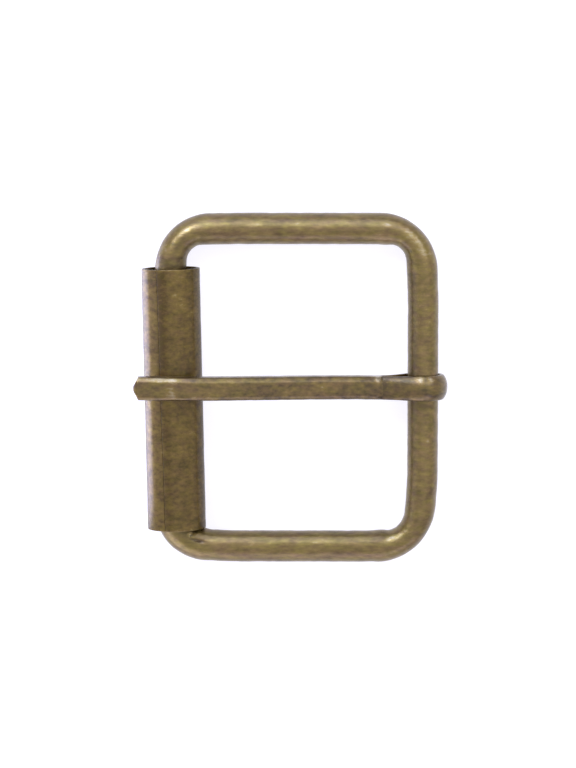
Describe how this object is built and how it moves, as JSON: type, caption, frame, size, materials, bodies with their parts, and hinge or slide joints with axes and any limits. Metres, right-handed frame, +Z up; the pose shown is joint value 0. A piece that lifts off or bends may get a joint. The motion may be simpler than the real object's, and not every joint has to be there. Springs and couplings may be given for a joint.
{
  "type": "roller buckle",
  "caption": "Roller buckle of bent round wire with a loose sheet roller on the front bar and a wire prong that swings on the back bar.",
  "frame": {"origin": "bottom centre of the whole buckle's box, on the surface that it lies on", "axes": "+X along the strap from the roller's bar to the back bar, +Y along the bars, +Z up out of the surface"},
  "size_m": [0.0436, 0.0488, 0.0116],
  "materials": {
    "frame_brass": "antique brass, brushed along the wire",
    "roller_brass": "antique brass, darker and mottled",
    "prong_brass": "antique brass, brushed along the wire"
  },
  "bodies": {
    "frame": {"frame": "frame_brass"},
    "roller": {"roller": "roller_brass"},
    "prong": {"prong": "prong_brass"}
  },
  "joints": [
    {"name": "roller_spin", "type": "hinge", "parent": "frame", "child": "roller", "pos_m": [-0.0162, -0.00137, 0.00405], "axis": [-0.0215, 0.9998, 0], "continuous": true},
    {"name": "prong_swing", "type": "hinge", "parent": "frame", "child": "prong", "pos_m": [0.0184, 0.00024, 0.00345], "axis": [0, 1, 0], "range_deg": [0, 170]}
  ]
}
